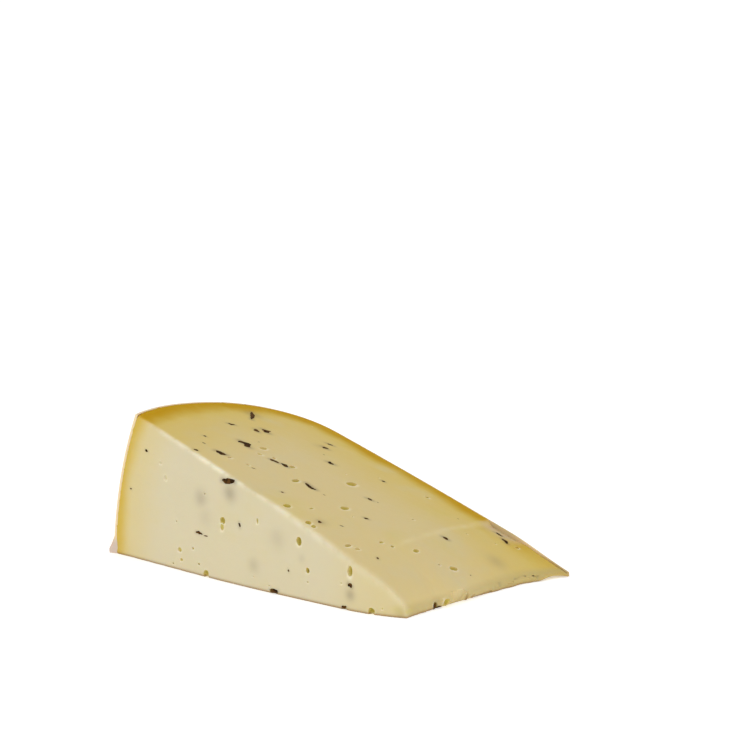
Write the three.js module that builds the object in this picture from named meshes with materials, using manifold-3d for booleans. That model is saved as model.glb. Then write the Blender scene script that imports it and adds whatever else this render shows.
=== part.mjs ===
import * as THREE from 'three';
import { mergeVertices } from 'three/addons/utils/BufferGeometryUtils.js';
import Module from 'manifold-3d';

// A wedge of semi-hard cheese, cut by hand from a wheel and lying on its lower radial cut.
// Millimetres, +Z up. The wheel's axis runs along Y close to the wedge's thin edge. The rim
// looks to -X, the cut across the wheel to -Y and the wheel's own flat face to +Y. While it
// is shaped, the thin edge starts at X = 0 and the cross cut at Y = 0.

// The wheel that the wedge comes from
const rimRadius = 118; // axis to the fullest part of the rim
const flatRadius = 94; // where the flat face starts to round over into the rim
const shoulderPower = 2.4; // how square the shoulder is; 2 would be an ellipse
const axisInset = 7; // thin edge to the wheel's axis, towards the rim
const axisDrop = 3.4; // wheel's axis below the lower cut

// The cuts
const wedgeDepth = 71.5; // cross cut to flat face
const depthCutAway = 18.5; // what is left of the wheel's height beyond the cross cut
const rimThickness = 45; // at the rim, along the cross cut
const noseThickness = 12; // upper cut above the thin edge, at the cross cut
const noseFall = 9; // how much lower the upper cut lies at the flat face, by the nose
const rimFall = 10.2; // the same by the rim
const fallPower = 1.6; // how late the fall comes
const upperCutCrown = 0.6; // how far the upper cut bulges between nose and rim
const crossCutBow = 4.5; // how far the cross cut bulges
const bowFadeStart = 50; // distance from the thin edge at which the bulge starts to fade
const bowFadePower = 1.4; // how soon it fades towards the rim
const bowRunIn = 20; // distance over which the bulge grows from the thin edge
const noseDip = 2.15; // how far the upper cut dips at the cross cut, by the nose
const noseDipOut = 19.5; // distance from the thin edge to the lowest of the dip
const noseDipSpan = 16; // distance from there at which about a third of it is left
const noseDipReach = 24; // depth behind the cross cut at which it is gone

// The thin edge
const noseRound = 24; // distance over which the nose rounds down
const edgeThickness = 1; // what is left of the edge where it meets the table
const edgeHollow = 3.5; // how far the edge curves inwards between its ends
const tipReach = 2; // how far the corner at the flat face runs out
const tipPower = 30; // how suddenly it does

// The coat over the wheel's outside
const coatThickness = 0.8;
const coatGap = 0.3; // between coat and paste

// Flat face to the fullest part of the rim, which is half the wheel's height
const wheelHalfHeight = (wedgeDepth + depthCutAway) / 2;

// Fineness of the faceting
const wheelSegments = 180;
const shoulderSteps = 18;
const blockRows = 26;
const blockColumns = 14;
const blockMargin = 6; // how far the cutting block reaches past the wheel

const wasm = await Module();
wasm.setup();

function clamp01(value) {
  return THREE.MathUtils.clamp(value, 0, 1);
}

// The wheel's radius at a depth behind the cross cut
function wheelRadiusAt(depth, inset = 0) {
  const middle = wedgeDepth - wheelHalfHeight;
  const off = clamp01(Math.abs(depth - middle) / (wheelHalfHeight - inset));
  const across = rimRadius - flatRadius - inset;
  return flatRadius + across * (1 - off ** shoulderPower) ** (1 / shoulderPower);
}

// Distance from the thin edge to where the ridge meets the rim
function ridgeLength() {
  return axisInset + Math.sqrt(wheelRadiusAt(0) ** 2 - (rimThickness + axisDrop) ** 2);
}

// Position of the cross cut at a distance from the thin edge
function crossCutAt(out) {
  const rimOut = axisInset + rimRadius;
  const fade = clamp01((out - bowFadeStart) / (rimOut - bowFadeStart));
  const runIn = 1 - (1 - clamp01(out / bowRunIn)) ** 2;
  return -crossCutBow * runIn * Math.cos((fade * Math.PI) / 2) ** bowFadePower;
}

// Where the thin edge lies at a depth behind the cross cut
function edgeAt(depth) {
  const share = clamp01(depth / wedgeDepth);
  return edgeHollow * Math.sin(share * Math.PI) - tipReach * share ** tipPower;
}

// Height of the upper cut, with the nose rounded down to the thin edge
function upperCutAt(out, depth) {
  const towardsRim = clamp01(out / ridgeLength());
  const towardsFlat = Math.max(depth / wedgeDepth, 0);
  const rise = (rimThickness - noseThickness) / ridgeLength();
  const fall = THREE.MathUtils.lerp(noseFall, rimFall, towardsRim) * towardsFlat ** fallPower;
  const crown = upperCutCrown * Math.sin(towardsRim * Math.PI);
  const dipAlong = Math.exp(-(((out - noseDipOut) / noseDipSpan) ** 2));
  const dipAcross = 1 - THREE.MathUtils.smoothstep(depth, -crossCutBow, noseDipReach);
  const plane = noseThickness + rise * out + crown - fall - noseDip * dipAlong * dipAcross;
  const left = 1 - clamp01((out - edgeAt(depth)) / noseRound);
  return edgeThickness + Math.max(plane - edgeThickness, 0) * Math.sqrt(1 - left ** 2);
}

// The whole wheel, shrunk all round by an inset
function wheelGeometry(inset) {
  const middle = wedgeDepth - wheelHalfHeight;
  const halfHeight = wheelHalfHeight - inset;
  const profile = [new THREE.Vector2(0, middle - halfHeight)];
  for (let step = -shoulderSteps; step <= shoulderSteps; step += 1) {
    const angle = (step / shoulderSteps) * (Math.PI / 2);
    const up = Math.sign(angle) * Math.abs(Math.sin(angle)) ** (2 / shoulderPower);
    const depth = middle + halfHeight * up;
    profile.push(new THREE.Vector2(wheelRadiusAt(depth, inset), depth));
  }
  profile.push(new THREE.Vector2(0, middle + halfHeight));
  const geometry = new THREE.LatheGeometry(profile, wheelSegments);
  geometry.translate(-axisInset, 0, -axisDrop);
  return geometry;
}

// The block between all the cuts: a grid of heights over a flat base
function cutBlockGeometry() {
  const rimEnd = axisInset + rimRadius + blockMargin;
  const backEnd = wedgeDepth + blockMargin;
  const positions = [];
  const index = [];
  const at = (row, column, top) => (top * (blockRows + 1) + row) * (blockColumns + 1) + column;
  const quad = (a, b, c, d) => index.push(a, b, c, a, c, d);
  for (const top of [0, 1]) {
    for (let row = 0; row <= blockRows; row += 1) {
      for (let column = 0; column <= blockColumns; column += 1) {
        const [rimward, flatward] = [(row / blockRows) ** 1.5, column / blockColumns];
        const out = THREE.MathUtils.lerp(edgeAt(flatward * backEnd), rimEnd, rimward);
        const depth = THREE.MathUtils.lerp(crossCutAt(out), backEnd, flatward);
        positions.push(-out, depth, top * upperCutAt(out, depth));
      }
    }
  }
  for (let row = 0; row < blockRows; row += 1) {
    for (let column = 0; column < blockColumns; column += 1) {
      const [r, c] = [row + 1, column + 1];
      quad(at(row, column, 1), at(row, c, 1), at(r, c, 1), at(r, column, 1));
      quad(at(row, column, 0), at(r, column, 0), at(r, c, 0), at(row, c, 0));
    }
  }
  const wall = (from, to) => quad(at(...from, 0), at(...to, 0), at(...to, 1), at(...from, 1));
  for (let row = 0; row < blockRows; row += 1) {
    wall([row + 1, 0], [row, 0]);
    wall([row, blockColumns], [row + 1, blockColumns]);
  }
  for (let column = 0; column < blockColumns; column += 1) {
    wall([0, column], [0, column + 1]);
    wall([blockRows, column + 1], [blockRows, column]);
  }
  const geometry = new THREE.BufferGeometry();
  geometry.setAttribute('position', new THREE.Float32BufferAttribute(positions, 3));
  geometry.setIndex(index);
  return geometry;
}

function toSolid(geometry) {
  const bare = geometry.clone();
  bare.deleteAttribute('normal');
  bare.deleteAttribute('uv');
  const merged = mergeVertices(bare, 1e-4);
  const mesh = new wasm.Mesh({
    numProp: 3,
    vertProperties: new Float32Array(merged.attributes.position.array),
    triVerts: new Uint32Array(merged.index.array),
  });
  mesh.merge();
  return new wasm.Manifold(mesh);
}

function toMesh(name, solid, material) {
  const { vertProperties, triVerts } = solid.getMesh();
  const geometry = new THREE.BufferGeometry();
  geometry.setAttribute('position', new THREE.BufferAttribute(vertProperties, 3));
  geometry.setIndex(new THREE.BufferAttribute(triVerts, 1));
  geometry.computeVertexNormals();
  const mesh = new THREE.Mesh(geometry, material);
  mesh.name = name;
  return mesh;
}

const pasteMaterial = new THREE.MeshStandardMaterial({ color: 0xdccea5, roughness: 0.5, metalness: 0 });
const coatMaterial = new THREE.MeshStandardMaterial({ color: 0xc9b08c, roughness: 0.4, metalness: 0 });

const cutBlock = toSolid(cutBlockGeometry());
const wheel = toSolid(wheelGeometry(0));
const wheelUnderCoat = toSolid(wheelGeometry(coatThickness));
const wheelOfPaste = toSolid(wheelGeometry(coatThickness + coatGap));

const wedge = new THREE.Group();
wedge.add(toMesh('paste', wheelOfPaste.intersect(cutBlock), pasteMaterial));
wedge.add(toMesh('rind_coat', wheel.subtract(wheelUnderCoat).intersect(cutBlock), coatMaterial));

// The origin is under the middle of the wedge, on the surface it lies on
const middle = new THREE.Box3().setFromObject(wedge).getCenter(new THREE.Vector3());
wedge.position.set(-middle.x, -middle.y, 0);

const group = new THREE.Group();
group.add(wedge);
group.updateMatrixWorld(true);

export default group;
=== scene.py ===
import math

import bmesh
import bpy
import numpy as np
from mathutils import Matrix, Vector
from mathutils.bvhtree import BVHTree


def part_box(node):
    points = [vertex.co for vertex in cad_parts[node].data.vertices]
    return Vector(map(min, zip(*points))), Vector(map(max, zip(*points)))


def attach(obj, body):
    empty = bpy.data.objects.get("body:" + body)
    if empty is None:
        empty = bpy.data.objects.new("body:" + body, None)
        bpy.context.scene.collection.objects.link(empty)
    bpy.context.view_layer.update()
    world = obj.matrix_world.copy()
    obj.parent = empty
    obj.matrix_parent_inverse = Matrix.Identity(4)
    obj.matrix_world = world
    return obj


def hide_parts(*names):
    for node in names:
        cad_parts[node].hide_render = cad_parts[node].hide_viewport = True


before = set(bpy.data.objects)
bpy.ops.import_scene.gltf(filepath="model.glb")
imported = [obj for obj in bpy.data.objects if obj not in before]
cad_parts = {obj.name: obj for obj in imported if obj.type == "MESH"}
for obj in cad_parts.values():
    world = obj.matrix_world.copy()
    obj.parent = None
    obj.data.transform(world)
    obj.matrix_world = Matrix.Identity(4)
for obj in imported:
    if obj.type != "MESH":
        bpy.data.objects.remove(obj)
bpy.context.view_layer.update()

# Shapes are worked out in millimetres from the wedge's own corner: out runs from the thin edge
# to the rim, depth from the cross cut to the wheel's flat face, and height up from the board.
wheel = {
    "rimRadius": 118.0,      # axis to the fullest part of the rim
    "flatRadius": 94.0,      # where the flat face starts to round over
    "shoulderPower": 2.4,    # 2 would be an ellipse
    "axisInset": 7.0,        # thin edge to the wheel's axis
    "axisDrop": 3.4,         # axis below the lower cut
    "depthCutAway": 18.5,    # wheel height left beyond the cross cut
}
cuts = {
    "depth": 71.5,
    "rimThickness": 45.0,
    "noseThickness": 12.0,
    "noseFall": 9.0,         # how much lower the upper cut lies at the flat face, by the nose
    "rimFall": 10.2,         # the same by the rim
    "fallPower": 1.6,
    "crown": 0.6,            # bulge of the upper cut between nose and rim
    "bow": 4.5,              # bulge of the cross cut
    "bowFadeStart": 50.0,
    "bowFadePower": 1.4,
    "bowRunIn": 20.0,
    "noseRound": 24.0,
    "noseDip": 2.15,         # how far the upper cut dips at the cross cut, by the nose
    "noseDipOut": 19.5,      # thin edge to the lowest of the dip
    "noseDipSpan": 16.0,     # distance from there at which about a third of it is left
    "noseDipReach": 24.0,    # depth at which it is gone
    "edgeThickness": 1.0,
    # thin edge: depth and how far in it lies
    "edgeLine": [
        (0, 0), (4, 0.9), (10, 1.2), (14.5, 2.1), (18, 1.2), (24, 0.3), (29, 1.9), (38, 3.5),
        (46, 3.9), (53, 3.7), (59, 2.9), (64, 1.4), (68, 0.7), (70, 0.1), (71.5, -1.2),
    ],
    "edgeNibble": 0.45,      # how far it wanders off that line
    "tipLift": 1.1,          # how far the edge lifts off the board beside the tip
    "tipLiftDepth": 65.5,    # depth at which it lifts most
    "tipLiftSpan": 4.5,
    "tipLiftReach": 6.0,     # how far in from the edge it is still felt
    "ridgeRounding": 0.85,
    "edgeRounding": 0.3,
    "stopOut": 16.8,         # where the knife stopped and started again on the upper cut
    "stopSlant": 0.1,
    "stopCurve": 0.0014,
    "stopWander": 0.35,      # how far that line wanders
    "stopTremble": 0.15,     # and how far it trembles on the way
    "stopStep": 0.2,         # how much lower the second stroke ran, by the cross cut
    "stopStepFar": 0.75,     # and how much more by the flat face
    "stopFrom": 4.0,         # depths between which the step grows to its full height
    "stopTo": 26.0,
    "stopLip": 0.1,          # paste that the knife pushed up beside the step
    "stopLipOut": 1.2,
    "stopLipWidth": 0.8,
    "dragFrom": 15.0,        # stretch of the far edge where the knife dragged the coat up
    "dragTo": 31.5,
    "dragDip": 0.85,         # how far the paste lies below the coat there
    "dragWidth": 7.0,
    "waves": 0.22,           # how uneven the cuts are, from slow waves to the finest grain
    "ripples": 0.09,
    "knifeLines": 0.035,
    "grain": 0.02,
    # torn bits by the thin edge: depth, height, size and how far they stand out
    "torn": [(16.4, 2.2, 0.8, 0.7), (16.0, 1.0, 0.6, 0.6), (20.4, 3.4, 0.7, 0.6), (12.2, 1.4, 0.7, 0.4),
             (21.2, 2.2, 0.6, 0.45), (27.5, 1.0, 0.8, 0.35), (34.0, 0.8, 0.9, 0.3), (9.0, 0.8, 0.7, 0.3)],
}
coat = {
    "thickness": 0.8,
    "overlap": 0.55,         # how far the paste reaches into it, so that no gap shows
    "edgeSlant": 0.12,       # how much lower its outer edge is than its inner edge
    "lipOut": 2.6,           # smear at the lower front corner
    "lipIn": 2.6,            # how far it covers the cross cut there
    "lipHeight": 6.0,
    "lipDepth": 14.0,
    "tipOut": -0.1,          # where it ends at the thin edge
    "tipLow": 0.35,          # how high it is there
    "tipHeight": 1.6,        # how much higher it is by the end of its run
    "tipRun": 2.2,
    "tipLiftShare": 0.75,    # how much of the edge's lift off the board it takes, and where
    "tipLiftOut": 3.2,
    "tipLiftSpan": 2.6,
    "dents": 0.12,
    "steps": 430,            # points along the coat
    "rows": 72,              # points from the board up to the upper cut
    "sharpOver": 40,         # edges sharper than this many degrees stay sharp
}
wheelHalfHeight = (cuts["depth"] + wheel["depthCutAway"]) / 2
wheelMiddle = cuts["depth"] - wheelHalfHeight
coatLow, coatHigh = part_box("rind_coat")
rimOut = wheel["axisInset"] + math.sqrt(wheel["rimRadius"] ** 2 - wheel["axisDrop"] ** 2)
thinEdgeX = coatLow.x * 1000 + rimOut
crossCutY = coatHigh.y * 1000 - cuts["depth"]


def toFrame(points):
    return np.stack([thinEdgeX - points[:, 0], points[:, 1] + crossCutY, points[:, 2]], 1) / 1000


def fromFrame(points):
    return np.stack(
        [thinEdgeX - points[:, 0] * 1000, points[:, 1] * 1000 - crossCutY, points[:, 2] * 1000], 1
    )


def smoothStep(low, high, value):
    share = np.clip((value - low) / (high - low), 0, 1)
    return share * share * (3 - 2 * share)


def softNoise(points, size, seed):  # smooth noise from -1 to 1, with features of about that size
    # each corner of a grid gets its own value, mixed from its place with large odd numbers
    cell = points / size
    base = np.floor(cell).astype(np.int64)
    part = cell - base
    part = part * part * (3 - 2 * part)
    total = np.zeros(len(points))
    for corner in np.ndindex(2, 2, 2):
        at = base + corner
        mixed = at[:, 0] * 374761393 + at[:, 1] * 668265263 + at[:, 2] * 1442695041 + seed * 974711
        mixed = ((mixed ^ (mixed >> 13)) * 1274126177) & 0x7FFFFFFF
        mixed = (mixed ^ (mixed >> 16)) & 0xFFFF
        weight = np.prod(np.where(np.array(corner) == 1, part, 1 - part), axis=1)
        total += weight * (mixed / 32767.5 - 1)
    return total


# The surfaces that bound the wedge

def wheelRadius(depth):
    off = np.clip(np.abs(depth - wheelMiddle) / wheelHalfHeight, 0, 1)
    across = wheel["rimRadius"] - wheel["flatRadius"]
    power = wheel["shoulderPower"]
    return wheel["flatRadius"] + across * (1 - off**power) ** (1 / power)


ridgeLength = wheel["axisInset"] + math.sqrt(
    wheelRadius(0.0) ** 2 - (cuts["rimThickness"] + wheel["axisDrop"]) ** 2
)


def crossCut(out):
    fade = np.clip((out - cuts["bowFadeStart"]) / (rimOut - cuts["bowFadeStart"]), 0, 1)
    runIn = 1 - (1 - np.clip(out / cuts["bowRunIn"], 0, 1)) ** 2
    arch = np.maximum(np.cos(fade * math.pi / 2), 0) ** cuts["bowFadePower"]
    return -cuts["bow"] * runIn * arch


def thinEdge(depth):
    depths, inset = np.array(cuts["edgeLine"]).T
    spread = np.array([-1.2, -0.6, 0.0, 0.6, 1.2])  # rounds the line's corners
    return sum(np.interp(depth + shift, depths, inset) for shift in spread) / len(spread)


def stopAt(depth):
    straight = cuts["stopOut"] + cuts["stopSlant"] * depth + cuts["stopCurve"] * depth**2
    wander = cuts["stopWander"] * np.sin(depth / 6.1 + 1)
    return straight + wander + cuts["stopTremble"] * np.sin(depth / 2.3)


def dragAt(out):
    runIn, runOut = 8, 2.2
    along = smoothStep(cuts["dragFrom"], cuts["dragFrom"] + runIn, out)
    return along * (1 - smoothStep(cuts["dragTo"] - runOut, cuts["dragTo"], out))


def withKnifeMarks(plane, out, depth, flatward):  # what the knife took off the plain cut or pushed up
    stop = stopAt(depth)
    grown = smoothStep(cuts["stopFrom"], cuts["stopTo"], depth)
    grown = grown * (1 + 0.3 * np.sin(depth / 4.3) + 0.2 * np.sin(depth / 1.9))
    step = cuts["stopStep"] + cuts["stopStepFar"] * flatward**2
    beside = smoothStep(-1.2, 1.0, stop - out)
    lip = np.exp(-(((out - stop - cuts["stopLipOut"]) / cuts["stopLipWidth"]) ** 2))
    farEdge = smoothStep(-cuts["dragWidth"], -1.2, depth - cuts["depth"])
    plane = plane - step * grown * beside
    plane = plane + cuts["stopLip"] * grown * lip
    return plane - cuts["dragDip"] * dragAt(out) * farEdge


def upperCut(out, depth, marked=True):
    rimward = np.clip(out / ridgeLength, 0, 1)
    flatward = np.maximum(depth / cuts["depth"], 0)
    rise = (cuts["rimThickness"] - cuts["noseThickness"]) / ridgeLength
    fall = cuts["noseFall"] + (cuts["rimFall"] - cuts["noseFall"]) * rimward
    plane = cuts["noseThickness"] + rise * out - fall * flatward ** cuts["fallPower"]
    plane = plane + cuts["crown"] * np.sin(rimward * math.pi)
    dip = np.exp(-(((out - cuts["noseDipOut"]) / cuts["noseDipSpan"]) ** 2))
    plane = plane - cuts["noseDip"] * dip * (1 - smoothStep(-cuts["bow"], cuts["noseDipReach"], depth))
    if marked:
        plane = withKnifeMarks(plane, out, depth, flatward)
    left = 1 - np.clip((out - thinEdge(depth)) / cuts["noseRound"], 0, 1)
    floor = cuts["edgeThickness"]
    return floor + np.maximum(plane - floor, 0) * np.sqrt(1 - left**2)


def underWheel(points, inset):  # distance outside the wheel's skin, with an inset
    axisOut = points[:, 0] - wheel["axisInset"]
    radius = np.hypot(axisOut, points[:, 2] + wheel["axisDrop"])
    across = wheel["rimRadius"] - wheel["flatRadius"]
    power = wheel["shoulderPower"]
    high = np.abs(points[:, 1] - wheelMiddle) / wheelHalfHeight
    wide = np.maximum(radius - wheel["flatRadius"], 0) / across
    whole = np.maximum((wide**power + high**power) ** (1 / power), 1e-6)
    slopeWide = (wide / whole) ** (power - 1) / across
    slopeHigh = (high / whole) ** (power - 1) / wheelHalfHeight
    return (whole - 1) / np.hypot(slopeWide, slopeHigh) + inset


def boundaries(points):  # distances outside the upper cut, cross cut, wheel skin, board and thin edge
    out, depth, height = points.T
    zero = out * 0
    nudge = 0.15
    slopeOut = (upperCut(out + nudge, depth) - upperCut(out - nudge, depth)) / (2 * nudge)
    slopeDepth = (upperCut(out, depth + nudge) - upperCut(out, depth - nudge)) / (2 * nudge)
    upper = (height - upperCut(out, depth)) / np.sqrt(1 + slopeOut**2 + slopeDepth**2)
    cross = crossCut(out) - depth
    skin = underWheel(points, coat["thickness"] - coat["overlap"])
    nearTip = np.exp(-(((depth - cuts["tipLiftDepth"]) / cuts["tipLiftSpan"]) ** 2))
    nearTip = nearTip * np.exp(-np.maximum(out, 0) / cuts["tipLiftReach"])
    under = cuts["tipLift"] * nearTip - height
    wander = softNoise(np.stack([zero, depth, zero], 1), 5.5, 11)
    wander += 0.4 * softNoise(np.stack([zero, depth, height], 1), 1.9, 12)
    edge = thinEdge(depth) + cuts["edgeNibble"] * wander * smoothStep(1, 8, depth) - out
    return np.stack([upper, cross, skin, under, edge])


def ridgeRoundingAt(points):  # uneven along the ridge, and widest between the nose and the middle
    alongRidge = points * [1, 0, 0]
    out = points[:, 0]
    uneven = 1 + 0.45 * softNoise(alongRidge, 9, 21) + 0.25 * softNoise(alongRidge, 3.5, 22)
    wide = 0.5 + 1.1 * smoothStep(4, 24, out) * (1 - 0.55 * smoothStep(40, 64, out))
    return cuts["ridgeRounding"] * (uneven * wide)


def pasteDistance(points):  # distance outside the paste, with its edges rounded over
    sides = boundaries(points)
    atRidge = smoothStep(-4, -1, sides[0]) * smoothStep(-4, -1, sides[1])
    rounding = cuts["edgeRounding"] + (ridgeRoundingAt(points) - cuts["edgeRounding"]) * atRidge
    cutSides = sides[[0, 1, 3, 4]]
    near = np.maximum(cutSides + rounding, 0)
    rounded = np.minimum(cutSides.max(0), -rounding) + np.sqrt((near**2).sum(0))
    return np.maximum(rounded, sides[2])


def slopeOf(distance, points, nudge=0.06):
    steps = np.eye(3) * nudge
    return np.stack([(distance(points + s) - distance(points - s)) / (2 * nudge) for s in steps], 1)


def settle(points, distance, rounds):  # moves points onto the surface where the distance is nought
    leastSteep, longestMove = 0.15, 0.7
    for _ in range(rounds):
        slope = slopeOf(distance, points)
        steep = np.maximum((slope**2).sum(1), leastSteep)
        move = slope * (-distance(points) / steep)[:, None]
        length = np.linalg.norm(move, axis=1)
        points = points + move * np.minimum(1, longestMove / np.maximum(length, 1e-9))[:, None]
    return points


# Meshes

def buildMesh(name, points, faces, flip=True):  # points in wedge millimetres, whose X is mirrored
    mesh = bpy.data.meshes.new(name)
    turned = [face[::-1] for face in faces] if flip else faces
    mesh.from_pydata(toFrame(np.asarray(points, float)).tolist(), [], [list(f) for f in turned])
    mesh.validate()
    mesh.update()
    return mesh


def buildObject(name, mesh):
    piece = bpy.data.objects.new(name, mesh)
    bpy.context.scene.collection.objects.link(piece)
    return piece


def applied(piece):  # the piece's mesh with its modifiers worked in
    graph = bpy.context.evaluated_depsgraph_get()
    return bpy.data.meshes.new_from_object(piece.evaluated_get(graph), depsgraph=graph)


def weld(mesh, distance):  # joins points closer than that, and drops slivers, flaps and doubled faces
    welded = bmesh.new()
    welded.from_mesh(mesh)
    bmesh.ops.remove_doubles(welded, verts=welded.verts, dist=distance)
    bmesh.ops.dissolve_degenerate(welded, edges=welded.edges, dist=distance)
    bmesh.ops.triangulate(welded, faces=[face for face in welded.faces if len(face.verts) > 4])
    flaps = [face for face in welded.faces if any(edge.is_boundary for edge in face.edges)]
    bmesh.ops.delete(welded, geom=flaps, context="FACES")
    welded.to_mesh(mesh)
    welded.free()
    mesh.validate()


def evenCopy(node, voxel):  # a CAD solid's surface as even small faces
    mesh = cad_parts[node].data.copy()
    weld(mesh, 1e-6)
    rough = buildObject("rough", mesh)
    modifier = rough.modifiers.new("even", "REMESH")
    modifier.mode = "VOXEL"
    modifier.voxel_size = voxel
    even = applied(rough)
    bpy.data.objects.remove(rough)
    return even


def meshPoints(mesh):
    points = np.zeros(len(mesh.vertices) * 3)
    mesh.vertices.foreach_get("co", points)
    return points.reshape(-1, 3)


def setPoints(mesh, points):
    mesh.vertices.foreach_set("co", points.ravel())
    mesh.update()


def smoothOver(mesh, angle):  # smooth shading, with edges sharper than that many degrees kept
    mesh.polygons.foreach_set("use_smooth", np.ones(len(mesh.polygons), bool))
    mesh.set_sharp_from_angle(angle=math.radians(angle))


def icoBall(detail):
    ball = bmesh.new()
    bmesh.ops.create_icosphere(ball, subdivisions=detail, radius=1)
    points = np.array([v.co[:] for v in ball.verts])
    faces = [[v.index for v in f.verts] for f in ball.faces]
    ball.free()
    return points, faces


# Where things lie on the cuts. Two numbers place a thing: on the upper and lower cuts they are out
# and depth, on the cross cut out and height, and on the thin edge depth and height.
facing = {"upper": (0, 0, 1), "cross": (0, -1, 0), "lower": (0, 0, -1), "edge": (-1, 0, 0)}


def surfaceTree(mesh):
    points = fromFrame(meshPoints(mesh))
    return BVHTree.FromPolygons(points.tolist(), [list(p.vertices) for p in mesh.polygons])


def heightOver(tree, point, outward):  # how far the real surface stands over a point of the plain one
    castFrom = 2.5
    start = Vector(point + outward * castFrom)
    hit, _, _, length = tree.ray_cast(start, Vector(-outward), castFrom * 2)
    return 0.0 if hit is None else castFrom - length


def pointOn(face, first, second):
    if face == "upper":
        return np.array([first, second, float(upperCut(np.float64(first), np.float64(second)))])
    if face == "cross":
        return np.array([first, float(crossCut(np.float64(first))), second])
    if face == "edge":
        return np.array([float(thinEdge(np.float64(first))) + 0.12 * second, first, second])
    return np.array([first, second, 0.0])


def placeOn(face, first, second, turn, tree=None):  # a point, and the directions ahead, aside and outward
    nudge = 0.3
    point = pointOn(face, first, second)
    along = pointOn(face, first + nudge, second) - pointOn(face, first - nudge, second)
    beside = pointOn(face, first, second + nudge) - pointOn(face, first, second - nudge)
    along /= np.linalg.norm(along)
    beside -= along * (beside @ along)
    beside /= np.linalg.norm(beside)
    outward = np.cross(along, beside)
    if outward @ facing[face] < 0:
        outward = -outward
    if tree:
        point = point + outward * heightOver(tree, point, outward)
    angle = math.radians(turn)
    ahead = along * math.cos(angle) + beside * math.sin(angle)
    side = beside * math.cos(angle) - along * math.sin(angle)
    return point, ahead, side, outward


# Herb flecks: face, its two numbers, length, width, turn in degrees, bend
flecks = {
    "placed": [
        ("upper", 105, 43, 10.4, 1.7, 46, 0.04),
        ("upper", 98.5, 27.5, 2.6, 1.3, -45, 0.0),
        ("upper", 93.5, 33.5, 2.6, 2.0, 25, 0.0),
        ("upper", 93, 36.8, 3.6, 2.8, 10, 0.05),
        ("upper", 92, 9.5, 1.1, 1.0, -10, 0.0),
        ("upper", 84.5, 19, 5.6, 3.0, 8, 0.06),
        ("upper", 81, 5.5, 4.4, 2.2, -14, -0.06),
        ("upper", 85, -1.2, 1.7, 1.0, -10, 0.0),
        ("upper", 72.5, 19.5, 3.6, 1.5, -10, 0.05),
        ("upper", 69.5, 20.8, 3.4, 1.9, -6, 0.0),
        ("upper", 55.2, 17.5, 5.6, 1.9, 6, -0.12),
        ("upper", 81, 50.5, 2.2, 2.7, 0, 0.0),
        ("upper", 84, 56, 1.9, 2.3, -20, 0.0),
        ("upper", 69.5, 41, 2.5, 2.4, -15, 0.0),
        ("upper", 45, 32.2, 2.0, 1.9, -20, 0.05),
        ("upper", 34, 19, 1.6, 1.2, -20, 0.0),
        ("upper", 57, 51, 1.1, 1.4, 0, 0.0),
        ("upper", 21, 39.5, 2.2, 1.5, -20, 0.05),
        ("upper", 24, 67, 3.2, 2.0, -10, 0.12),
        ("upper", 19.5, 64.5, 4.0, 1.6, 20, 0.0),
        ("upper", 36.8, 2.2, 1.5, 1.5, -10, 0.0),
        ("upper", 54.5, 4.5, 1.0, 0.9, -20, 0.0),
        ("upper", 16.2, 4.8, 1.1, 0.9, 30, 0.0),
        ("cross", 68.6, 31.1, 6.2, 2.0, -3, 0.03),
        ("cross", 82, 13, 3.4, 0.9, 3, 0.05),
        ("cross", 79, 12.7, 2.2, 0.4, -3, 0.0),
        ("cross", 64, 18.5, 1.5, 1.1, 75, 0.0),
        ("cross", 106, 34.5, 1.3, 0.7, 10, 0.0),
        ("cross", 113.6, 21.5, 0.9, 0.6, 10, 0.0),
        ("cross", 18.5, 7.6, 1.9, 1.4, 30, 0.0),
        ("cross", 43.5, 8, 0.9, 0.7, 60, 0.0),
        ("cross", 49.3, 0.9, 3.4, 1.1, -4, 0.0),
        ("cross", 20.9, 0.8, 2.2, 0.8, 0, 0.0),
        ("edge", 14.0, 0.8, 2.2, 1.2, 60, 0.0),
        ("edge", 15.8, 0.35, 1.6, 0.6, 0, 0.0),
    ],
    "scattered": 26,         # more of them, mostly on the lower cut
    "proud": 0.05,           # how far a fleck stands out of the paste
    "leastThickness": 0.45,
    "raggedness": 0.34,      # how uneven its long edges are, and how uneven in finer steps
    "fineRaggedness": 0.24,
    "curl": 0.22,            # how far it wanders off its line, as a share of its width
    "mostRaised": 0.5,       # how far it may bend with the paste
    "lowest": -0.02,
}
# Faint grey places where a fleck lies just under the cut: face, its two numbers, radius, strength
ghosts = [
    ("cross", 81, 24, 2.6, 0.30),
    ("cross", 68, 27.5, 2.6, 0.42),
    ("cross", 79, 18.5, 3.0, 0.12),
    ("cross", 58, 7.2, 2.2, 0.22),
    ("cross", 48, 17, 3.0, 0.14),
    ("cross", 18.5, 4.8, 1.8, 0.40),
    ("cross", 38, 12.5, 1.4, 0.12),
    ("upper", 106, 44.5, 2.8, 0.35),
    ("upper", 10, 50, 3.2, 0.22),
    ("upper", 36.6, 2.2, 2.0, 0.22),
    ("upper", 82, 49.5, 2.4, 0.14),
]
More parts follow.
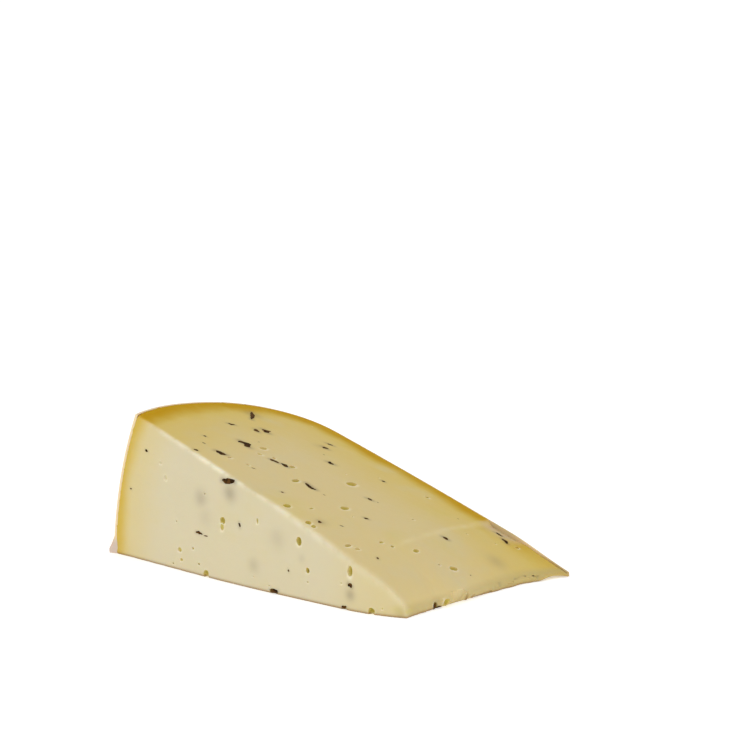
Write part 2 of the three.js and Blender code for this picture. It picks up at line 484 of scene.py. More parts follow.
# Eyes: face, its two numbers, width along each of them, and how deep they go
eyes = {
    "placed": [
        ("upper", 81, 23.5, 1.9, 3.2, 1.3),
        ("upper", 77.5, 18.4, 2.0, 1.8, 0.8),
        ("upper", 74.6, 21.3, 1.6, 1.2, 0.6),
        ("upper", 68.3, 22.8, 1.9, 2.6, 1.2),
        ("upper", 59.5, 15.2, 2.0, 3.0, 1.3),
        ("upper", 55.3, 35, 2.9, 4.2, 1.6),
        ("upper", 41, 17, 2.2, 3.2, 1.5),
        ("upper", 47.4, -0.8, 2.2, 2.4, 1.1),
        ("upper", 43.5, 5.5, 1.0, 1.5, 0.8),
        ("upper", 77.5, 5.5, 1.4, 1.5, 0.6),
        ("upper", 72, 7.5, 1.6, 1.0, 0.5),
        ("upper", 46, 58.7, 1.5, 1.7, 1.0),
        ("upper", 15.5, 20.6, 1.6, 2.2, 1.0),
        ("upper", 8.3, 29, 2.0, 3.2, 1.4),
        ("upper", 21.6, 12.2, 1.2, 1.6, 0.8),
        ("upper", 19.1, 14.3, 1.0, 1.4, 0.7),
        ("upper", 24.1, 0.4, 1.8, 2.4, 1.1),
        ("upper", 21.6, 1.9, 1.5, 1.7, 0.9),
        ("upper", 37.6, -1.9, 2.0, 2.2, 1.0),
        ("upper", 35.6, -2.0, 1.5, 1.6, 0.8),
        ("upper", 9.3, 24, 0.8, 0.9, 0.5),
        ("upper", 15.5, 65.6, 1.3, 1.4, 0.6),
        ("upper", 31, 36, 1.0, 1.1, 0.6),
        ("cross", 71.4, 18.6, 2.3, 2.2, 1.0),
        ("cross", 71.7, 16.6, 1.6, 2.4, 0.6),
        ("cross", 39.2, 17.6, 2.0, 2.7, 1.3),
        ("cross", 35.6, 9.3, 1.5, 1.6, 1.1),
        ("cross", 18.5, 12, 1.9, 3.9, 1.2),
        ("cross", 91, 6.4, 1.9, 1.6, 0.8),
        ("cross", 90.4, 3.4, 1.3, 1.1, 0.6),
        ("cross", 94, 1.6, 0.8, 0.7, 0.5),
        ("cross", 82.2, 3.4, 0.9, 0.7, 0.5),
        ("cross", 84.8, 7.8, 0.9, 0.8, 0.5),
        ("cross", 97.2, 27.5, 1.5, 1.6, 0.35),
        ("cross", 99.4, 31.8, 1.3, 1.2, 0.35),
        ("cross", 56.3, 21, 1.0, 1.9, 0.5),
        ("cross", 78.8, 0.9, 2.4, 2.9, 1.5),
        ("cross", 49.5, 0.6, 3.6, 1.9, 1.5),
        ("cross", 20.9, 0.4, 2.4, 1.4, 1.2),
        ("cross", 10.9, 0.9, 2.2, 2.4, 1.2),
        ("edge", 14.4, 0.7, 1.7, 2.6, 1.1),
        ("edge", 18.6, 1.5, 2.6, 2.1, 1.1),
    ],
    "scattered": 26,         # more of them, mostly on the lower cut
    "wobble": 0.26,          # how far they are from a plain ellipsoid
}


def scatter(seed, count, faces, spread):  # places at least that far apart, and the dice they came from
    outRange, acrossRange = (6, 100), (4, 64)
    dice = np.random.default_rng(seed)
    found = []
    while len(found) < count:
        face = faces[dice.integers(len(faces))]
        out, across = dice.uniform(*outRange), dice.uniform(*acrossRange)
        if face == "cross":
            across = dice.uniform(2, 4 + out * 0.3)
        if all(math.hypot(out - o, across - a) > spread for f, o, a in found if f == face):
            found.append((face, out, across))
    return found, dice


def allFlecks():
    found, dice = scatter(5, flecks["scattered"], ["lower", "lower", "lower", "upper"], 6)
    extra = []
    for face, out, across in found:
        small = 1.0 if face == "lower" else 0.28
        length = dice.uniform(1.5, 6) * small
        width = max(0.3, length * 0.26)
        extra.append((face, out, across, length, width, dice.uniform(-40, 40), dice.uniform(-0.1, 0.1)))
    return flecks["placed"] + extra


def allEyes():
    found, dice = scatter(9, eyes["scattered"], ["lower", "lower", "lower", "upper", "cross"], 5)
    extra = []
    for face, out, across in found:
        width = dice.uniform(0.9, 2.6) if face == "lower" else dice.uniform(0.4, 0.8)
        extra.append((face, out, across, width, width * dice.uniform(0.8, 1.3), width * 0.5))
    return eyes["placed"] + extra


def eyeCutters(tree):
    ball, ballFaces = icoBall(3)
    points, faces = [], []
    for number, (face, out, across, wide, tall, deep) in enumerate(allEyes()):
        spot, ahead, side, outward = placeOn(face, out, across, 0, tree)
        wobbled = ball * (1 + eyes["wobble"] * softNoise(ball + number * 7.3, 1.1, 31))[:, None]
        sized = wobbled * [wide / 2, tall / 2, deep]
        start = len(points) * len(ball)
        turned = np.dot(np.cross(ahead, side), outward) < 0
        faces += [[start + v for v in (f[::-1] if turned else f)] for f in ballFaces]
        points.append(spot + sized[:, :1] * ahead + sized[:, 1:2] * side + sized[:, 2:] * outward)
    return buildObject("eyeCutters", buildMesh("eyeCutters", np.concatenate(points), faces))


def fleckShape(length, width, bend, number, rings=19, around=12):  # a flat ragged leaf, lying along its X
    thick = max(flecks["leastThickness"], min(width, 1.2) * 0.5)
    blunt = 1.5 + 1.3 * (number * 0.37 % 1)
    share = (np.arange(rings) + 0.5) / rings * 2 - 1
    swell = (1 - np.abs(share) ** blunt) ** 0.6
    edges = []
    for offset in (0, 40):  # its two long edges wander on their own
        line = np.stack([share * length / 2, share * 0 + number * 5.1 + offset, share * 0], 1)
        ragged = flecks["raggedness"] * softNoise(line, max(0.9, length * 0.24), 41)
        ragged = ragged + flecks["fineRaggedness"] * softNoise(line, 0.5, 42)
        edges.append(swell * np.maximum(1 + ragged, 0.25) * width / 2)
    points, faces = [], []
    for ring in range(rings):
        for spoke in range(around):
            angle = spoke / around * 2 * math.pi
            reach = edges[0][ring] if math.cos(angle) > 0 else edges[1][ring]
            high = math.sin(angle) * swell[ring] * thick / 2
            points.append([share[ring] * length / 2, math.cos(angle) * reach, high])
    points = np.array(points)
    points[:, 1] += bend * length * (1 - (points[:, 0] * 2 / length) ** 2)
    wander = softNoise(points * [1, 0, 0] + number, max(1.0, length * 0.3), 43)
    points[:, 1] += flecks["curl"] * width * wander
    points[:, 2] = np.clip(points[:, 2] - thick * 0.3, -thick, 0) + flecks["proud"]
    for ring in range(rings - 1):
        for spoke in range(around):
            a, b = ring * around + spoke, ring * around + (spoke + 1) % around
            faces.append([a, b, b + around, a + around])
    faces.append(list(range(around))[::-1])
    faces.append(list(range((rings - 1) * around, rings * around)))
    return points, faces


def makeFlecks(tree):
    points, faces, count = [], [], 0
    for number, (face, out, across, length, width, turn, bend) in enumerate(allFlecks()):
        spot, ahead, side, outward = placeOn(face, out, across, turn)
        shape, shapeFaces = fleckShape(length, width, bend, number)
        turned = np.dot(np.cross(ahead, side), outward) < 0
        body = spot + shape[:, :1] * ahead + shape[:, 1:2] * side
        raised = np.array([heightOver(tree, point, outward) for point in body])
        middle = np.median(raised)
        raised = np.clip(raised, middle - flecks["mostRaised"], middle + flecks["mostRaised"])
        body = body + (shape[:, 2] + raised)[:, None] * outward
        body[:, 2] = np.maximum(body[:, 2], flecks["lowest"])
        points.append(body)
        faces += [[count + v for v in (f if turned else f[::-1])] for f in shapeFaces]
        count += len(shape)
    return buildObject("herb_flecks", buildMesh("herb_flecks", np.concatenate(points), faces))


# Paste

pasteMesh = {
    "voxel": 0.0006,         # size of the faces, in metres
    "settleRounds": 6,
    "weldWithin": 2e-6,      # also in metres
    "sharpOver": 42,         # edges sharper than this many degrees stay sharp
}
# Where the shades of the paste lie, in millimetres. A pair is where one starts and where it ends.
shading = {
    "nose": (6, 34),
    # painted shade on the low rounded band by the thin edge: how high, and how far in
    "edgeShadeHeight": (2.0, 4.6),
    "edgeShadeReach": (1.5, 5.0),
    "stopLineOut": 0.4,
    "stopLineWidth": 0.8,
    "stopLineDepth": (6, 24),
    # height of the painted contact shadow by the board
    "contactShadowHeight": 0.55,
    "crossFace": (-1.1, 0.5),
    "hollow": (0.06, 0.5),
    # painted shade deep inside the eyes: how far in it starts and where it is full
    "hollowShade": (0.4, 1.2),
    "ridgeWidth": 1.5,
    "ridgeNarrowing": 0.75,  # how much narrower it is past the middle
    "ridgeBrightOut": 78,    # where its painted highlight is brightest
    "ridgeBrightSpan": 10,
    "eyeRingWidth": 0.4,     # as a share of the eye
    "stainReach": 0.3,
    "stainPerWidth": 0.32,
    "stainStrength": 0.45,
}


def setShades(mesh, shades):  # one value for each point, kept under each name
    for name, values in shades.items():
        layer = mesh.attributes.get(name) or mesh.attributes.new(name, "FLOAT", "POINT")
        layer.data.foreach_set("value", np.asarray(values, np.float32))


def stainAt(points):  # colour that the flecks give the paste round them
    total = np.zeros(len(points))
    for face, out, across, length, width, turn, bend in allFlecks():
        spot, ahead, side, outward = placeOn(face, out, across, turn)
        offset = points - spot
        along = np.clip(offset @ ahead, -length * 0.45, length * 0.45)
        far = np.linalg.norm(offset - along[:, None] * ahead, axis=1)
        reach = shading["stainReach"] + shading["stainPerWidth"] * width
        stain = shading["stainStrength"] * np.exp(-((far / reach) ** 2)) * min(1, width / 1.5)
        total = np.maximum(total, stain)
    for face, out, across, radius, strength in ghosts:
        spot = placeOn(face, out, across, 0)[0]
        far = np.linalg.norm(points - spot, axis=1)
        total = np.maximum(total, strength * np.exp(-((far / radius) ** 2)))
    return total


def eyeRingAndGlintAt(points):  # pale ring round each eye with a painted glint, brightest on the side that catches the light
    thickness, dimmest = 1.2, 0.15
    total = np.zeros(len(points))
    for face, out, across, wide, tall, deep in allEyes():
        spot, ahead, side, outward = placeOn(face, out, across, 0)
        offset = points - spot
        far = np.hypot(offset @ ahead / (wide / 2), offset @ side / (tall / 2))
        close = np.abs(offset @ outward) < thickness
        lit = -(offset @ side) / (tall / 2) if face == "cross" else -(offset @ ahead) / (wide / 2)
        lit = dimmest + (1 - dimmest) * smoothStep(0.1, 1.0, lit)
        ring = np.exp(-((np.maximum(far - 1, 0) / shading["eyeRingWidth"]) ** 2))
        total = np.maximum(total, close * lit * ring * (far > 0.6))
    return total


def ridgeWearAndHighlight(out, onUpper, onCross):  # the line where the two cuts meet, painted lighter: partly wear, partly a painted highlight
    width = shading["ridgeWidth"] - shading["ridgeNarrowing"] * smoothStep(36, 62, out)
    shade = np.exp(-((np.hypot(onUpper + 0.2, onCross + 0.2) / width) ** 2))
    shade = shade * (0.4 + 0.6 * smoothStep(12, 45, out)) * (1 - smoothStep(96, 108, out))
    bright = np.exp(-(((out - shading["ridgeBrightOut"]) / shading["ridgeBrightSpan"]) ** 2))
    return shade * (1 + 0.9 * bright)


def paintPaste(mesh):  # what the paste's finish needs to know of each point, from 0 to 1 or in millimetres
    points = fromFrame(meshPoints(mesh))
    out, depth, height = points.T
    onUpper, onCross, _, onBoard, onEdge = boundaries(points)
    inside = -pasteDistance(points)
    fromAxis = np.hypot(out - wheel["axisInset"], height + wheel["axisDrop"])
    fromEdge = out - thinEdge(depth)
    fromStop = (out - stopAt(depth) - shading["stopLineOut"]) / shading["stopLineWidth"]
    stopLine = np.exp(-(fromStop**2)) * smoothStep(*shading["stopLineDepth"], depth)
    stopLine = stopLine * (0.6 + 0.4 * softNoise(points, 3, 56))
    lowDown = 1 - smoothStep(*shading["edgeShadeHeight"], height)
    upright = np.maximum(onCross, onEdge) > -1.0
    farEdge = smoothStep(-cuts["dragWidth"] - 3, -2, depth - cuts["depth"])
    setShades(mesh, {
        "underRind": -underWheel(points, 0),
        "fromSkin": np.minimum(cuts["depth"] - depth, wheelRadius(depth) - fromAxis),
        "nose": 1 - smoothStep(*shading["nose"], out),
        # painted shade on the low rounded band by the thin edge
        "edgeBandShade": lowDown * (1 - smoothStep(*shading["edgeShadeReach"], fromEdge)),
        "stopLine": stopLine * (onUpper > -1),
        # pale ring round each eye, mostly a painted glint on its lit side
        "rim": eyeRingAndGlintAt(points),
        # painted contact shadow along the board, on the upright faces
        "contactShadow": np.exp(-((np.maximum(height, 0) / shading["contactShadowHeight"]) ** 2)) * upright,
        "dragged": dragAt(out) * farEdge * (onUpper > -2),
        "crossFace": smoothStep(*shading["crossFace"], onCross - np.maximum(onUpper, onBoard)),
        # lighter line along the ridge: partly wear, partly a painted highlight
        "ridge": ridgeWearAndHighlight(out, onUpper, onCross),
        "hollow": smoothStep(*shading["hollow"], inside),
        # painted shade, darker deeper inside the eyes
        "hollowShade": smoothStep(*shading["hollowShade"], inside),
        "stain": stainAt(points),
    })


def roughened(points, outward):  # the waves and knife lines of a hand-made cut, and the torn bits
    skin = boundaries(points)[2]
    free = smoothStep(0.3, 2.0, -skin) * smoothStep(0.3, 2.0, points[:, 2])
    waves = cuts["waves"] * softNoise(points, 17, 51) + cuts["ripples"] * softNoise(points, 6, 52)
    lines = cuts["knifeLines"] * softNoise(points * [0.16, 1, 1], 1.5, 53)
    lines = lines + cuts["grain"] * softNoise(points, 1.1, 54)
    points = points + outward * ((waves + lines) * free)[:, None]
    byEdge = 1 - smoothStep(2.0, 4.0, points[:, 0] - thinEdge(points[:, 1]))
    for depth, height, size, lift in cuts["torn"]:
        far = np.hypot(points[:, 1] - depth, points[:, 2] - height)
        lump = lift * np.exp(-((far / size) ** 2)) * byEdge * smoothStep(0.0, 0.5, points[:, 2])
        points = points + outward * (lump * (1 + 0.4 * softNoise(points, 0.9, 55)))[:, None]
    return points


def cutEyes(piece, tree):
    cutter = eyeCutters(tree)
    hole = piece.modifiers.new("eyes", "BOOLEAN")
    hole.operation = "DIFFERENCE"
    hole.solver = "MANIFOLD"
    hole.object = cutter
    cut = applied(piece)
    weld(cut, pasteMesh["weldWithin"])
    piece.modifiers.clear()
    piece.data = cut
    bpy.data.objects.remove(cutter)


def makePaste():
    mesh = evenCopy("paste", pasteMesh["voxel"])
    points = settle(fromFrame(meshPoints(mesh)), pasteDistance, pasteMesh["settleRounds"])
    outward = slopeOf(pasteDistance, points)
    outward /= np.maximum(np.linalg.norm(outward, axis=1), 1e-6)[:, None]
    setPoints(mesh, toFrame(roughened(points, outward)))
    piece = buildObject("cheese_paste", mesh)
    tree = surfaceTree(mesh)
    cutEyes(piece, tree)
    paintPaste(piece.data)
    smoothOver(piece.data, pasteMesh["sharpOver"])
    triangles = sum(len(face.vertices) - 2 for face in piece.data.polygons)
    print("paste:", len(piece.data.vertices), "points", triangles, "triangles")
    return piece, tree


# Coat

def coatLine(steps):  # the wheel's outline from the cross cut round the shoulder to the thin edge
    depth = cuts["depth"]
    angles = np.linspace(-math.pi / 2, math.pi / 2, 4001)
    power = 2 / wheel["shoulderPower"]
    outward = np.abs(np.cos(angles)) ** power
    upward = np.sign(angles) * np.abs(np.sin(angles)) ** power
    radius = wheel["flatRadius"] + (wheel["rimRadius"] - wheel["flatRadius"]) * outward
    across = wheelMiddle + wheelHalfHeight * upward
    keep = across >= 0
    radius, across = radius[keep], across[keep]
    radius = np.append(radius, coat["tipOut"] - wheel["axisInset"])
    across = np.append(across, depth)
    run = np.append(0, np.cumsum(np.hypot(np.diff(radius), np.diff(across))))
    at = np.linspace(0, run[-1], steps)
    return np.interp(at, run, radius), np.interp(at, run, across)


def coatGrid(inset, steps, rows, lowered):  # one side of the coat: rows of points up to the upper cut
    radius, across = coatLine(steps)
    flat = radius < wheel["flatRadius"]
    turnRadius = np.gradient(radius)
    turnAcross = np.gradient(across)
    length = np.hypot(turnRadius, turnAcross)
    normalRadius = np.where(flat, 0, turnAcross / length)
    normalAcross = np.where(flat, 1, -turnRadius / length)
    points = np.zeros((steps, rows, 3))
    firstGuess = np.full(steps, 30.0)
    tip = coat["tipOut"] - wheel["axisInset"]
    for row in range(rows):
        share = row / (rows - 1)
        height = firstGuess * share
        for _ in range(10):  # the height depends on the place and the place on the height
            low = np.clip(1 - height / coat["lipHeight"], 0, 1)
            lip = low**2.0 * (1 - smoothStep(0, coat["lipDepth"], across))
            lip = lip * (0.5 + 0.5 * smoothStep(-0.2, 1.8, height))  # thinner again by the board
            fold = low * (1 - smoothStep(0, 5, across))
            thicker = inset + coat["lipIn"] * fold if inset > 0 else -coat["lipOut"] * lip
            ringRadius = radius - normalRadius * thicker
            depth = across - normalAcross * thicker
            overAxis = (height + wheel["axisDrop"]) ** 2
            roundReach = np.sqrt(np.maximum(ringRadius**2 - overAxis, 0))
            cornerReach = np.sqrt(wheel["flatRadius"] ** 2 - overAxis)
            flatReach = tip + (cornerReach - tip) * (radius - tip) / (wheel["flatRadius"] - tip)
            out = wheel["axisInset"] + np.where(flat, flatReach, roundReach)
            front = 1 - smoothStep(0, 8, across)
            depth = depth + (crossCut(out) - 0.4 * smoothStep(0, 0.4, fold)) * front
            end = np.sqrt(np.clip((out - coat["tipOut"]) / coat["tipRun"], 0, 1))
            least = coat["tipLow"] + coat["tipHeight"] * end
            edgeTop = np.maximum(upperCut(out, depth, False), least)
            height = (edgeTop - lowered) * share
        byTip = np.exp(-(((out - coat["tipLiftOut"]) / coat["tipLiftSpan"]) ** 2))
        lift = coat["tipLiftShare"] * cuts["tipLift"] * byTip * flat * (1 - share)
        points[:, row] = np.stack([out, depth, np.minimum(height + lift, edgeTop)], 1)
    return points


def coatFaces(steps, rows):  # two grids of points, outer and inner, closed all round
    def at(layer, step, row):
        return (layer * steps + step) * rows + row

    faces = []
    for step in range(steps - 1):
        for row in range(rows - 1):
            for layer in (0, 1):
                corners = [(step, row), (step + 1, row), (step + 1, row + 1), (step, row + 1)]
                quad = [at(layer, *corner) for corner in corners]
                faces.append(quad[::-1] if layer else quad)
        for row, turned in ((0, True), (rows - 1, False)):
            quad = [at(0, step, row), at(0, step + 1, row), at(1, step + 1, row), at(1, step, row)]
            faces.append(quad[::-1] if turned else quad)
    for row in range(rows - 1):
        for step, turned in ((0, False), (steps - 1, True)):
            quad = [at(0, step, row), at(0, step, row + 1), at(1, step, row + 1), at(1, step, row)]
            faces.append(quad[::-1] if turned else quad)
    return faces


def paintCoat(mesh, points, inner):
    out, depth, height = points.T
    belowTop = upperCut(out, depth, False) - height
    behindFront = depth - crossCut(out)
    byTop = (1 - smoothStep(1.0, 4.0, belowTop)) * (depth > cuts["depth"] - 4)
    setShades(mesh, {
        "belowEdge": np.minimum(belowTop, behindFront) * (1 - inner),
        "smear": (1 - smoothStep(2, 7, behindFront)) * (1 - smoothStep(3, 6, height)),
        "tip": 1 - smoothStep(3, 14, out),
        "dragged": dragAt(out) * byTop,
    })


def makeCoat():
    steps, rows = coat["steps"], coat["rows"]
    outer = coatGrid(0, steps, rows, coat["edgeSlant"]).reshape(-1, 3)
    inner = coatGrid(coat["thickness"], steps, rows, 0).reshape(-1, 3)
    dents = 0.6 + 0.5 * softNoise(outer, 11, 61) + 0.25 * softNoise(outer, 3.2, 62)
    outer[:, :2] += (coat["dents"] * dents * smoothStep(0, 4, outer[:, 2]))[:, None] * [0.7, 0.5]
    points = np.concatenate([outer, inner])
    mesh = buildMesh("rind_coating", points, coatFaces(steps, rows), flip=False)
    turned = bmesh.new()
    turned.from_mesh(mesh)
    bmesh.ops.recalc_face_normals(turned, faces=turned.faces)
    turned.to_mesh(mesh)
    turned.free()
    smoothOver(mesh, coat["sharpOver"])
    paintCoat(mesh, points, np.repeat([0.0, 1.0], steps * rows))
    print("coat:", len(mesh.vertices), "points")
    return buildObject("rind_coating", mesh)


# Finishes

def colour(red, green, blue):  # display values from 0 to 255
    def linear(value):
        share = value / 255
        return share / 12.92 if share <= 0.04045 else ((share + 0.055) / 1.055) ** 2.4
    return (linear(red), linear(green), linear(blue), 1.0)


class Wire:  # a shader socket that sums, differences and products can be written with
    def __init__(self, tree, socket=None):
        self.tree = tree
        self.socket = socket

    def make(self, kind, settings=None, sockets=None, output=0):
        node = self.tree.nodes.new(kind)
        for name, value in (settings or {}).items():
            setattr(node, name, value)
        for key, value in (sockets or {}).items():
            if isinstance(value, Wire):
                self.tree.links.new(value.socket, node.inputs[key])
            else:
                node.inputs[key].default_value = value
        return Wire(self.tree, node.outputs[output] if node.outputs else None)

    def math(self, operation, first, second):
        return self.make("ShaderNodeMath", {"operation": operation}, {0: first, 1: second})

    def __add__(self, other):
        return self.math("ADD", self, other)

    def __radd__(self, other):
        return self.math("ADD", other, self)

    def __sub__(self, other):
        return self.math("SUBTRACT", self, other)

    def __rsub__(self, other):
        return self.math("SUBTRACT", other, self)

    def __mul__(self, other):
        return self.math("MULTIPLY", self, other)

    def __rmul__(self, other):
        return self.math("MULTIPLY", other, self)

    def attribute(self, name):
        return self.make("ShaderNodeAttribute", {"attribute_name": name}, output="Fac")

    def noise(self, place, scale, detail=2.0, roughness=0.5):
        sockets = {"Vector": place, "Scale": scale, "Detail": detail, "Roughness": roughness}
        return self.make("ShaderNodeTexNoise", None, sockets)

    def rise(self, value, low, high):  # 0 below low, 1 above high, eased between
        sockets = {"Value": value, "From Min": low, "From Max": high}
        return self.make("ShaderNodeMapRange", {"interpolation_type": "SMOOTHSTEP"}, sockets)

    def blend(self, first, second, amount):
        sockets = {0: amount, 6: first, 7: second}
        return self.make("ShaderNodeMix", {"data_type": "RGBA"}, sockets, output=2)

    def layered(self, base, look, amounts):  # each colour laid over the ones before it
        for name, amount in amounts.items():
            base = self.blend(base, look[name], amount)
        return base

    def bump(self, height, distance, strength):
        sockets = {"Height": height, "Distance": distance, "Strength": strength}
        return self.make("ShaderNodeBump", None, sockets)


def newMaterial(name):
    material = bpy.data.materials.new(name)
    material.use_nodes = True
    material.node_tree.nodes.clear()
    return material, Wire(material.node_tree)


def finishMaterial(wire, sockets):
    shader = wire.make("ShaderNodeBsdfPrincipled", None, sockets)
    wire.make("ShaderNodeOutputMaterial", None, {"Surface": shader})


pasteLook = {
    "upperCore": colour(215, 194, 137),
    "upperOuter": colour(213, 187, 104),
    "crossCore": colour(210, 199, 166),
    "crossOuter": colour(211, 194, 141),
    "mottle": colour(204, 194, 160),
    "warm": colour(207, 177, 64),      # wider, lighter band under the rind
    "ochre": colour(190, 145, 0),      # narrower, deeper one
    "bandWander": 3.4,                 # how far those bands wander, in millimetres
    "dragged": colour(210, 186, 144),  # coat smeared over the paste at the far edge
    "eyeWall": colour(206, 190, 84),
    # painted shade deep inside the eyes
    "eyeHollowShade": colour(186, 165, 54),
    # pale ring round each eye, mostly a painted glint
    "eyeRingGlint": colour(240, 232, 206),
    "stain": colour(112, 94, 84),
    # line along the ridge: partly wear, partly a painted highlight
    "ridge": colour(238, 230, 202),
    "contactShadow": colour(132, 94, 46),       # painted contact shadow: thin dark line where the paste meets the board
    # painted shade on the low rounded band by the thin edge
    "edgeBandShade": colour(186, 168, 114),
    "stopLine": colour(226, 212, 164),
    "roughness": 0.55,
    "roughnessSpread": 0.12,
    "broadScale": 55.0,
    "fineScale": 420.0,
    "grainScale": 900.0,
    "relief": 0.0002,
    "depthOfGlow": 0.0016,             # how far light travels inside
}


def pasteMaterial():
    material, wire = newMaterial("cutPaste")
    place = wire.make("ShaderNodeTexCoord", output="Object")
    crossFace = wire.attribute("crossFace")
    nose = wire.attribute("nose")
    dragged = wire.attribute("dragged")
    broad = wire.noise(place, pasteLook["broadScale"], 3)
    fine = wire.noise(place, pasteLook["fineScale"], 3)
    grain = wire.noise(place, pasteLook["grainScale"], 3, 0.6)
    # the two cuts, each paler towards the middle of the wheel
    deepIn = wire.attribute("fromSkin") + (wire.noise(place, 70, 2) - 0.5) * 4
    upper = wire.blend(pasteLook["upperOuter"], pasteLook["upperCore"], wire.rise(deepIn, 8, 44))
    core = wire.rise(deepIn, 4, 22) * (1 - nose * 0.8)
    cross = wire.blend(pasteLook["crossOuter"], pasteLook["crossCore"], core)
    # the darker bands under the rind
    wander = (wire.noise(place, 60, 3) - 0.5) * pasteLook["bandWander"]
    band = wire.attribute("underRind") * (0.42 + crossFace * 0.4) + wander
    bare = 1 - dragged * 0.9
    warm = (1 - wire.rise(band, 0.5, 5.7)) * bare
    deep = (1 - wire.rise(band, 0.8, 4.1)) * bare * (1 - nose * 0.75)
    ridgePatches = wire.rise(wire.noise(place, 260, 3), 0.3, 0.6)
    base = wire.layered(wire.blend(upper, cross, crossFace), pasteLook, {
        "mottle": wire.rise(broad, 0.5, 0.8) * 0.35,
        "warm": warm * (0.92 - crossFace * 0.12) * (1 - nose * 0.6),
        "ochre": deep * (1 - crossFace * 0.72),
        "dragged": dragged * 0.9,
        # painted shade on the low rounded band by the thin edge
        "edgeBandShade": wire.attribute("edgeBandShade") * 0.65,
        "stopLine": wire.attribute("stopLine") * 0.52,
        # line along the ridge in patches: partly wear, partly a painted highlight
        "ridge": wire.attribute("ridge") * (0.14 + ridgePatches * 0.46),
        # pale ring round each eye, mostly a painted glint on its lit side
        "eyeRingGlint": wire.attribute("rim") * 0.6,
        "stain": wire.attribute("stain"),
        "eyeWall": wire.attribute("hollow") * 0.75,
        # painted shade deep inside the eyes
        "eyeHollowShade": wire.attribute("hollowShade") * 0.6,
        # painted contact shadow where the paste meets the board
        "contactShadow": wire.attribute("contactShadow") * 0.85,
    })
    uneven = (fine - 0.5) * pasteLook["roughnessSpread"]
    finishMaterial(wire, {
        "Base Color": base,
        "Roughness": pasteLook["roughness"] + uneven + warm * 0.35,
        "Normal": wire.bump(fine + grain * 0.6, pasteLook["relief"], 0.35),
        "Subsurface Weight": 0.3,
        "Subsurface Radius": (1.0, 0.6, 0.25),
        "Subsurface Scale": pasteLook["depthOfGlow"],
        "Specular IOR Level": 0.16,
    })
    return material


coatLook = {
    "skin": colour(203, 172, 128),
    "blush": colour(204, 177, 139),
    "scuff": colour(222, 203, 176),
    "shade": colour(172, 132, 84),
    "edge": colour(240, 216, 174),     # where the knife left it bright
    "smear": colour(202, 184, 172),    # at the lower front corner
    "dragged": colour(206, 188, 142),
    "tip": colour(178, 148, 74),
    "roughness": 0.42,
    "roughnessSpread": 0.2,
    "broadScale": 42.0,
    "patchScale": 130.0,
    "fineScale": 650.0,
    "relief": 0.0004,
    "depthOfGlow": 0.0012,
}


def coatMaterial():
    material, wire = newMaterial("paintedCoat")
    place = wire.make("ShaderNodeTexCoord", output="Object")
    broad = wire.noise(place, coatLook["broadScale"], 4)
    patches = wire.noise(place, coatLook["patchScale"], 3)
    fine = wire.noise(place, coatLook["fineScale"], 3)
    nearEdge = 1 - wire.rise(wire.attribute("belowEdge"), 0.15, 0.8)
    base = wire.layered(coatLook["skin"], coatLook, {
        "blush": wire.rise(broad, 0.4, 0.65),
        "shade": wire.rise(patches, 0.55, 0.8) * 0.4,
        "scuff": wire.rise(fine, 0.62, 0.8) * 0.25,
        "edge": nearEdge * 0.85,
        "smear": wire.attribute("smear") * 0.9,
        "dragged": wire.attribute("dragged") * 0.9,
        "tip": wire.attribute("tip") * 0.8,
    })
    finishMaterial(wire, {
        "Base Color": base,
        "Roughness": coatLook["roughness"] + (fine - 0.5) * coatLook["roughnessSpread"],
        "Normal": wire.bump(patches + fine * 0.35, coatLook["relief"], 0.35),
        "Subsurface Weight": 0.2,
        "Subsurface Radius": (1.0, 0.6, 0.3),
        "Subsurface Scale": coatLook["depthOfGlow"],
        "Specular IOR Level": 0.45,
    })
    return material


fleckLook = {
    "leaf": colour(88, 58, 24),
    "dark": colour(46, 28, 8),
    "vein": colour(104, 78, 42),
    "roughness": 0.85,
    "patchScale": 700.0,
    "fineScale": 2400.0,
    "relief": 0.00015,
}


def fleckMaterial():
    material, wire = newMaterial("herbLeaf")
    place = wire.make("ShaderNodeTexCoord", output="Object")
    broad = wire.noise(place, fleckLook["patchScale"], 3)
    fine = wire.noise(place, fleckLook["fineScale"], 2)
    base = wire.layered(fleckLook["leaf"], fleckLook, {
        "dark": wire.rise(broad, 0.42, 0.62),
        "vein": wire.rise(fine, 0.6, 0.8) * 0.35,
    })
    finishMaterial(wire, {
        "Base Color": base,
        "Roughness": fleckLook["roughness"] + (fine - 0.5) * 0.2,
        "Normal": wire.bump(fine, fleckLook["relief"], 0.5),
        "Specular IOR Level": 0.08,
    })
    return material


def boardMaterial():
    material, wire = newMaterial("paleFloor")
    place = wire.make("ShaderNodeTexCoord", output="Object")
    grain = wire.noise(place, 3, 2)
    base = wire.blend(colour(250, 250, 250), colour(248, 248, 247), grain)
    finishMaterial(wire, {
        "Base Color": base,
        "Roughness": 0.9,
        "Specular IOR Level": 0.1,
        "Emission Color": (1, 1, 1, 1),
        "Emission Strength": studio["floorGlow"],
    })
    return material


# Building

paste, pasteSurface = makePaste()
paste.data.materials.clear()
paste.data.materials.append(pasteMaterial())
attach(paste, "root")
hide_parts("paste")

coating = makeCoat()
coating.data.materials.append(coatMaterial())
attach(coating, "root")
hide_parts("rind_coat")

herbs = makeFlecks(pasteSurface)
herbs.data.materials.append(fleckMaterial())
herbs.data.polygons.foreach_set("use_smooth", np.ones(len(herbs.data.polygons), bool))
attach(herbs, "root")
print("flecks:", len(herbs.data.vertices), "points")

# Studio

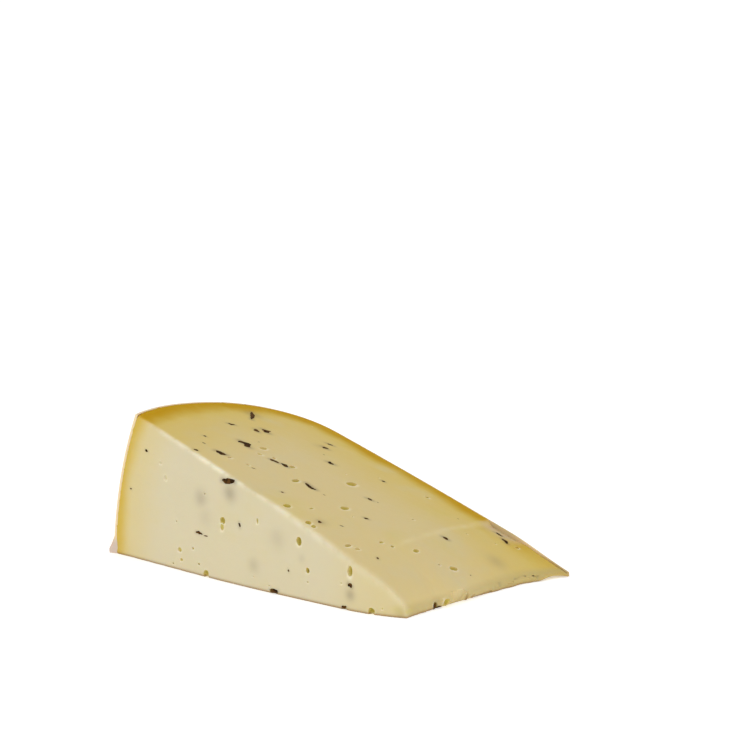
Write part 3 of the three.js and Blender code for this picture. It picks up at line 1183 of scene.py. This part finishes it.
studio = {
    "floorSize": 10.0,
    "floorGlow": 0.34,
    "worldStrength": 0.75,
    "keyAt": (-0.9, -1.5, 1.3),
    "keySize": 1.1,
    "keyPower": 6.5,
    "fillAt": (1.6, -0.6, 1.1),
    "fillSize": 1.4,
    "fillPower": 6.0,
    "lightsAimAt": (0.0, 0.0, 0.02),
    "lens": 240.0,
    "sensor": 36.0,
    "azimuth": 43.09,
    "pitch": 11.226,
    "distance": 1.448,
    "lookAt": (0.0454, -0.0298, 0.0691),
}


def makeFloor():
    half = studio["floorSize"] / 2
    corners = [(-half, -half, 0), (half, -half, 0), (half, half, 0), (-half, half, 0)]
    mesh = bpy.data.meshes.new("floor")
    mesh.from_pydata(corners, [], [(0, 1, 2, 3)])
    floor = buildObject("floor", mesh)
    mesh.materials.append(boardMaterial())


def makeLight(name):
    place = studio[name + "At"]
    light = bpy.data.lights.new(name, "AREA")
    light.shape = "DISK"
    light.size = studio[name + "Size"]
    light.energy = studio[name + "Power"]
    lamp = bpy.data.objects.new(name, light)
    bpy.context.scene.collection.objects.link(lamp)
    lamp.location = place
    aim = Vector(studio["lightsAimAt"]) - Vector(place)
    lamp.rotation_euler = aim.to_track_quat("-Z", "Y").to_euler()


def makeCamera():
    azimuth = math.radians(studio["azimuth"])
    pitch = math.radians(studio["pitch"])
    level = math.cos(pitch)
    ahead = Vector((-math.sin(azimuth) * level, math.cos(azimuth) * level, -math.sin(pitch)))
    lens = bpy.data.cameras.new("camera")
    lens.lens = studio["lens"]
    lens.sensor_width = studio["sensor"]
    lens.sensor_fit = "HORIZONTAL"
    lens.clip_end = 50
    camera = bpy.data.objects.new("camera", lens)
    bpy.context.scene.collection.objects.link(camera)
    camera.location = Vector(studio["lookAt"]) - ahead * studio["distance"]
    camera.rotation_euler = (math.pi / 2 - pitch, 0, azimuth)
    bpy.context.scene.camera = camera


def makeWorld():
    world = bpy.data.worlds.new("studio")
    bpy.context.scene.world = world
    world.use_nodes = True
    background = world.node_tree.nodes["Background"]
    background.inputs["Color"].default_value = (1, 1, 1, 1)
    background.inputs["Strength"].default_value = studio["worldStrength"]


makeFloor()
makeWorld()
makeLight("key")
makeLight("fill")
makeCamera()
bpy.context.scene.view_settings.view_transform = "Standard"
print("studio: floor, sky, two lights and a camera")
